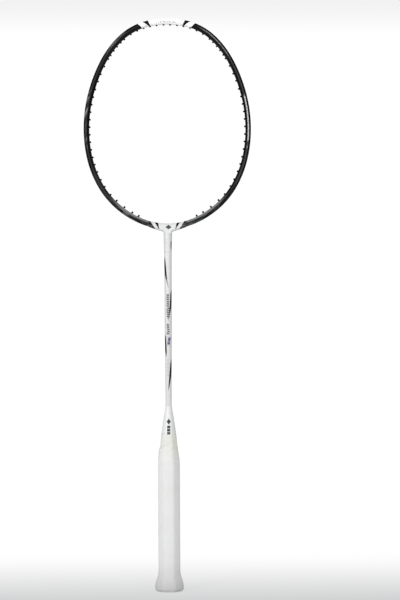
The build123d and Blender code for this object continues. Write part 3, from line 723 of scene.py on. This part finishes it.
# ================================================================== handle forms
GRIP_HALF_WIDTH, GRIP_HALF_DEPTH = 12.85, 11.5
GRIP_BOTTOM = 1.4
GRIP_TOP = 170.0          # nominal; the real edge is oblique
GRIP_STRETCH_FROM = 140.0  # rows above this are stretched to meet the oblique edge
GRIP_THICK = 1.35         # over the straight part
SPIRAL_PITCH = 27.0
CONE_CLEARANCE = 0.14
FLAT = 0.215              # share of the width that sets how far the slanting sides stand out
CONE_FOOT = 150.02
TAPE_BOTTOM, TAPE_STEP, TAPE_TOP = 144.5, 0.6, 186.0
TAPE_EDGE = 185.9         # only the wavy top edge lies above this
FLARE = [  # height, widening of the grip
    (1.4, 3.15), (2.2, 3.80), (3.6, 4.02), (6.0, 3.95), (8.5, 3.62), (11.0, 2.98),
    (13.5, 2.18), (16.0, 1.36), (18.5, 0.70), (21.0, 0.30), (24.0, 0.07), (27.0, 0.0),
    (30.0, 0.0),
]
CONE = [  # height, half width, half depth, share of eight-sidedness
    (149.9, 11.35, 9.96, 1.0), (156.0, 11.05, 9.83, 0.98), (160.0, 10.72, 9.62, 0.95),
    (164.0, 10.35, 9.38, 0.90), (168.0, 10.02, 9.16, 0.84), (172.0, 9.76, 8.98, 0.78),
    (176.0, 9.50, 8.80, 0.70), (180.0, 9.20, 8.56, 0.62), (186.0, 8.56, 8.02, 0.48),
    (192.0, 7.72, 7.32, 0.34), (198.0, 6.84, 6.56, 0.20), (204.0, 5.94, 5.78, 0.10),
    (209.0, 5.12, 5.05, 0.03), (213.0, 4.42, 4.40, 0.0), (216.0, 4.02, 4.02, 0.0),
    (218.2, 3.86, 3.86, 0.0),
]
OVER_CONE = [  # height, thickness of the grip over the cone at the left and at the right
    (150.0, 1.45, 1.45), (155.0, 1.46, 1.32), (160.0, 1.46, 1.06), (165.0, 1.44, 0.76),
    (169.0, 1.42, 0.52), (175.0, 1.40, 0.30),
]


def clamp01(value):
    return min(1.0, max(0.0, value))


def eight(a, half_width, half_depth, blend=1.0, power=22.0):
    """Radius at direction a of a soft eight-sided outline; blend 0 makes it an ellipse."""
    slant = (2 * FLAT * half_width + half_depth) / math.sqrt(2)
    walls = [(0, half_width), (math.pi, half_width),
             (math.pi / 2, half_depth), (3 * math.pi / 2, half_depth)]
    walls += [(math.pi / 4 + k * math.pi / 2, slant) for k in range(4)]
    total = sum(max(math.cos(a - facing), 0.0) ** power / distance ** power
                for facing, distance in walls)
    ellipse = 1.0 / math.hypot(math.cos(a) / half_width, math.sin(a) / half_depth)
    return blend * total ** (-1.0 / power) + (1 - blend) * ellipse


def grip_point(a, z, extra=0.0):
    """Point of the grip's outside: straight and flared below, lying on the cone above."""
    if z <= 150.0:
        flare = max(table_at(FLARE, z)[0], 0.0)
        radius = eight(a, GRIP_HALF_WIDTH + flare + extra,
                       GRIP_HALF_DEPTH + 0.82 * flare + extra, power=15.0)
        return radius * math.cos(a), radius * math.sin(a)
    half_width, half_depth, blend = table_at(CONE, z)
    left, right = table_at(OVER_CONE, z)
    both = (left + right) / 2 + extra
    radius = eight(a, half_width + both, half_depth + both, blend, power=15.0)
    return (right - left) / 2 + radius * math.cos(a), radius * math.sin(a)


def cone_radius(a, z, extra=0.0):
    half_width, half_depth, blend = table_at(CONE, z)
    return eight(a, half_width + extra, half_depth + extra, blend)


def cone_ring(angles, z, extra=0.0):
    return [circle([a], cone_radius(a, z, extra), z)[0] for a in angles]


def grip_end(x):
    """Height of the grip's oblique top edge, 2.9 higher at the right than at the left."""
    return 169.55 + (2.9 / (2 * GRIP_HALF_WIDTH)) * x


def grip_surface(a, z_plain):
    """(x, y, z) and seam weight on the outer skin."""
    x, y = grip_point(a, z_plain)
    top = grip_end(x) - 0.12
    z = z_plain
    if z_plain > GRIP_STRETCH_FROM:
        share = (z_plain - GRIP_STRETCH_FROM) / (GRIP_TOP - GRIP_STRETCH_FROM)
        z = GRIP_STRETCH_FROM + share * (top - GRIP_STRETCH_FROM)
    # the strip is wound in a spiral: each turn's edge lies on the one before
    turn = (z - 10.0) / SPIRAL_PITCH + a / (2 * math.pi)
    phase = turn - math.floor(turn)
    distance = min(phase, 1 - phase) * SPIRAL_PITCH
    groove = math.exp(-(distance / 0.9) ** 2)
    lift = 0.030 * math.exp(-phase * SPIRAL_PITCH / 6.0) - 0.018 * groove
    fade = clamp01((z - 6.0) / 12.0) * clamp01((150.0 - z) / 8.0)
    soft = 0.030 * math.sin(a * 3 + z * 0.11) * math.sin(z * 0.045 + 1.3)
    x, y = grip_point(a, z, (lift + soft) * fade)
    return (x, y, z), groove * fade


def build_grip(material):
    angles = wrap_angles(224)
    heights = [GRIP_BOTTOM, 1.55, 1.8, 2.1, 2.5, 3.0, 3.6, 4.4, 5.4, 6.5]
    z = 7.6
    while z < 169.6:
        heights.append(z)
        z += 1.0 if z < 32 or z > 145 else 1.25
    heights += [169.8, GRIP_TOP]
    # the bottom edge rolls under
    rings = [[grip_point(a, GRIP_BOTTOM, -inset) + (z,) for a in angles]
             for inset, z in ((1.15, 1.62), (0.7, 1.42))]
    seam = [0.0] * (len(rings) * len(angles))
    for z in heights:
        skin = [grip_surface(a, z) for a in angles]
        rings.append([point for point, weight in skin])
        seam += [weight for point, weight in skin]
    # the cut end turns in to the cone
    for share in (0.25, 0.62, 1.0):
        ring = []
        for a in angles:
            (x, y, z), _ = grip_surface(a, GRIP_TOP)
            radius = cone_radius(a, z, CONE_CLEARANCE)
            ring.append((x + (radius * math.cos(a) - x) * share,
                         y + (radius * math.sin(a) - y) * share, z + 0.12 - share * 0.12))
        rings.append(ring)
    # the inner wall goes back down: along the cone, then inside the straight part
    rings += [cone_ring(angles, z, CONE_CLEARANCE) for z in (162.0, 156.0, 150.2)]
    for z in (120.0, 80.0, 40.0, 27.0, 21.0, 16.0, 12.0, 8.0, 4.0, 2.2):
        rings.append([grip_point(a, z, -GRIP_THICK) + (z,) for a in angles])
    seam += [0.0] * (len(rings) * len(angles) - len(seam))
    ob = tube_object("wrapped_grip", rings, material)
    float_attribute(ob, "seam", seam)
    return ob


def tape_point(a, z, lift):
    grip_x, grip_y = grip_point(a, z, 0.10)
    radius = cone_radius(a, max(z, CONE[0][0]), 0.09)
    above = z - grip_end(grip_x)
    t = clamp01((above - 0.05) / 1.7)
    t = t * t * (3 - 2 * t)
    pucker = (0.02 * math.sin(5 * a + 0.35 * z) * math.sin(0.8 * z + 2 * a)
              * clamp01((above + 4) / 5))
    radius_off = lift + max(pucker, -0.01)
    x = grip_x * (1 - t) + radius * math.cos(a) * t + radius_off * math.cos(a)
    y = grip_y * (1 - t) + radius * math.sin(a) * t + radius_off * math.sin(a)
    return x, y, z - (0.25 * (1 + math.sin(3 * a)) if z > TAPE_EDGE else 0.0)


def build_tape(material):
    """Thin film over the end of the grip; it slopes from the grip's edge down to the cone."""
    angles = wrap_angles(224)
    heights = [TAPE_BOTTOM + i * TAPE_STEP for i in range(70)]
    heights = [z for z in heights if z < TAPE_EDGE] + [TAPE_TOP]
    rings = [[tape_point(a, z, 0.04) for a in angles] for z in heights]
    rings += [[tape_point(a, z, -0.03) for a in angles] for z in reversed(heights)]
    return tube_object("finishing_tape_wrap", rings, material)


def build_cone(material):
    angles = wrap_angles(160)
    rings = []
    z = CONE_FOOT
    while z < 217.8:
        rings.append(cone_ring(angles, z))
        z += 1.2
    rings.append(cone_ring(angles, 217.8))
    # rounded top lip, then down the inside: radius, height
    lip = CONE[-1][1]
    profile = [(lip - 0.05, 218.05), (lip - 0.16, 218.18), (lip - 0.26, 218.2), (3.60, 218.1),
               (3.60, 190.0), (6.3, 184.0), (8.35, 158.1), (8.35, CONE_FOOT)]
    rings += [circle(angles, radius, z) for radius, z in profile]
    return tube_object("handle_cone", rings, material)


# ================================================================== put the pieces together
put_in_place(build_hoop(hoop_lacquer()), "head_frame")
put_in_place(build_shaft(shaft_lacquer()), "shaft")
dress("throat_fairing", throat_lacquer())

black_nylon = moulded("black_nylon", (0.003, 0.003, 0.0034), (0.007, 0.007, 0.008),
                      rough=(0.45, 0.6), grain=4.0, spec=0.2)
for piece in ("crown_grommets", "shoulder_strip_left", "shoulder_strip_right",
              "side_grommets_left", "side_grommets_right",
              "lower_grommets_left", "lower_grommets_right"):
    dress(piece, black_nylon)
dress("throat_grommets", moulded("white_nylon", (0.72, 0.72, 0.71), (0.80, 0.80, 0.79),
                                 rough=(0.35, 0.5), grain=4.0))
dress("t_joint", moulded("bare_carbon", (0.02, 0.02, 0.022), (0.05, 0.05, 0.055),
                         rough=(0.4, 0.6), grain=1.5))
dress("shaft_end_plug", moulded("closed_cell_foam", (0.62, 0.58, 0.46), (0.72, 0.69, 0.58),
                                rough=(0.7, 0.9), grain=2.0, depth=0.0001))
dress("handle_core", handle_wood())
dress("grip_backing", moulded("adhesive_film", (0.58, 0.52, 0.38), (0.66, 0.60, 0.46),
                              rough=(0.3, 0.5), grain=1.0))
dress("butt_cap", moulded("cap_plastic", (0.60, 0.60, 0.59), (0.66, 0.66, 0.65),
                          rough=(0.4, 0.55), grain=3.0))
dress("butt_emblem", butt_disc())

put_in_place(build_cone(cone_plastic()), "cone_cap")
put_in_place(build_grip(grip_polyurethane()), "base_grip")
put_in_place(build_tape(tape_film()), "finishing_tape")


# ================================================================== stage
FLOOR_RADIUS, FLOOR_RINGS, FLOOR_SPOKES, FLOOR_Z = 1900.0, 12, 72, -0.2
FLOOR_GLOW_REACH = 600.0
FLOOR_GLOW = [  # share of the reach, brightness
    (0.0, 0.63), (0.045, 0.66), (0.167, 0.745), (0.322, 0.84), (0.478, 0.915), (0.648, 0.975),
    (0.83, 1.0), (1.0, 1.0),
]


def floor_material():
    """Pale paper that glows up to plain white away from the racket, with a painted pool of shade
    round it.
    """
    net = Paint("pale_floor")
    x, y, z = net.xyz
    aside = (x.abs() - 330.0).max(0.0) * 0.9
    far = (aside * aside + (y + 100.0) * (y + 100.0)).math("SQRT")
    # the glow is dimmer close to the racket: a painted pool of shade on the floor
    level = (far / FLOOR_GLOW_REACH).min(1.0).curve(FLOOR_GLOW)
    paper = net.noise(net.position, scale=0.02, detail=3.0)
    tone = net.mix(far.ramp(30.0, 260.0), (0.985, 0.99, 1.0), (1.0, 1.0, 1.0))
    # full glow to the camera, 60% of it as light on the racket
    camera_ray = Value(net, net.new("LightPath").outputs["Is Camera Ray"])
    strength = level * (far.ramp(420.0, 700.0) * 0.02 + 1.0) * (camera_ray * 0.40 + 0.60)
    glow = net.light_source("Emission", tone, strength)
    net.set(color=net.mix(paper, (0.70, 0.705, 0.71), (0.76, 0.765, 0.77)),
            rough=paper.ramp(0.3, 0.7, below=0.8, above=0.9), spec=0.05)
    glow_share = far.ramp(60.0, 420.0, below=0.80, above=1.0)
    net.plug(net.surface, net.mix_shaders(glow_share, net.bsdf.outputs[0], glow))
    return net.material


def build_floor():
    angles = wrap_angles(FLOOR_SPOKES)
    verts = [(0.0, 0.0, FLOOR_Z)]
    for i in range(1, FLOOR_RINGS + 1):
        verts += circle(angles, FLOOR_RADIUS * i / FLOOR_RINGS, FLOOR_Z)
    faces = [(0, 1 + j, 1 + (j + 1) % FLOOR_SPOKES) for j in range(FLOOR_SPOKES)]
    for i in range(FLOOR_RINGS - 1):
        for j in range(FLOOR_SPOKES):
            a = 1 + i * FLOOR_SPOKES + j
            b = 1 + i * FLOOR_SPOKES + (j + 1) % FLOOR_SPOKES
            faces.append((a, a + FLOOR_SPOKES, b + FLOOR_SPOKES, b))
    new_object("studio_floor", verts, faces, floor_material())


def build_world():
    world = bpy.data.worlds.new("studio_world")
    bpy.context.scene.world = world
    world.use_nodes = True
    net = Net(world.node_tree, "OutputWorld")
    rays = net.new("LightPath").outputs
    coords = net.new("TexCoord").outputs
    view_y = net.separate(coords["Window"])[1]
    facing_y = net.separate(coords["Generated"])[1]
    # what the camera sees: plain white, a shade darker along the top of the view
    seen = net.light_source("Background", (1.0, 1.0, 0.998),
                            view_y.ramp(0.925, 1.003, below=1.02, above=0.885))
    # what lights the racket: a soft surround, dimmer behind than in front
    soft = net.light_source("Background", (1.0, 1.0, 1.0),
                            facing_y.ramp(-0.7, 0.7, below=0.76, above=0.49))
    # what its gloss mirrors: a dim surround, so that black lacquer stays black
    gloss = net.light_source("Background", (1.0, 1.0, 1.0),
                             facing_y.ramp(-0.9, 0.6, below=0.26, above=0.08))
    lighting = net.mix_shaders(rays["Is Glossy Ray"], soft, gloss)
    net.plug(net.surface, net.mix_shaders(rays["Is Camera Ray"], lighting, seen))


build_floor()
build_world()


# ================================================================== lights and camera, in metres
def light(kind, name, place, target, energy, **settings):
    data = bpy.data.lights.new(name, kind)
    data.energy = energy
    for key, value in settings.items():
        setattr(data, key, value)
    ob = bpy.data.objects.new(name, data)
    bpy.context.scene.collection.objects.link(ob)
    ob.location = place
    ob.rotation_euler = (Vector(target) - Vector(place)).to_track_quat("-Z", "Y").to_euler()


def area(name, place, target, energy, width, height):
    light("AREA", name, place, target, energy, shape="RECTANGLE", size=width, size_y=height)


def spot(name, place, target, energy, degrees):
    light("SPOT", name, place, target, energy, spot_size=math.radians(degrees),
          spot_blend=0.8, shadow_soft_size=0.12)


area("key_left", place=(-1.35, -2.0, 1.15), target=(0, 0, 0.34), energy=27.5,
     width=1.3, height=1.6)
area("fill_front", place=(0.35, -2.7, 0.8), target=(0, 0, 0.3), energy=10.5,
     width=1.2, height=1.2)
area("back_right", place=(1.3, 1.2, 1.2), target=(0, 0, 0.35), energy=6.0,
     width=1.0, height=1.0)
spot("crown_from_below", place=(0.0, -0.75, 0.20), target=(0.0, 0.0, 0.668), energy=22.0,
     degrees=9.0)
spot("butt_from_right", place=(0.9, -0.9, 0.14), target=(0.0, 0.0, 0.012), energy=10.0,
     degrees=6.0)

CAMERA_X, CAMERA_DISTANCE, CAMERA_Z = 0.037583, 2.45, 0.342967
VIEW_SPAN = 0.708         # long side of the view in the hoop's plane
CAMERA_ROLL = math.radians(-0.28)
SENSOR = 36.0             # millimetres, as is the lens

camera_data = bpy.data.cameras.new("camera")
camera = bpy.data.objects.new("camera", camera_data)
bpy.context.scene.collection.objects.link(camera)
camera_data.sensor_fit = "AUTO"
camera_data.sensor_width = SENSOR
camera_data.lens = SENSOR * CAMERA_DISTANCE / VIEW_SPAN
camera_data.clip_end = 60.0
camera.location = (CAMERA_X, -CAMERA_DISTANCE, CAMERA_Z)
upright = Matrix.Rotation(math.radians(90), 4, "X")
camera.rotation_euler = (upright @ Matrix.Rotation(CAMERA_ROLL, 4, "Z")).to_euler()
bpy.context.scene.camera = camera
bpy.context.scene.view_settings.view_transform = "Standard"
bpy.context.scene.view_settings.look = "None"

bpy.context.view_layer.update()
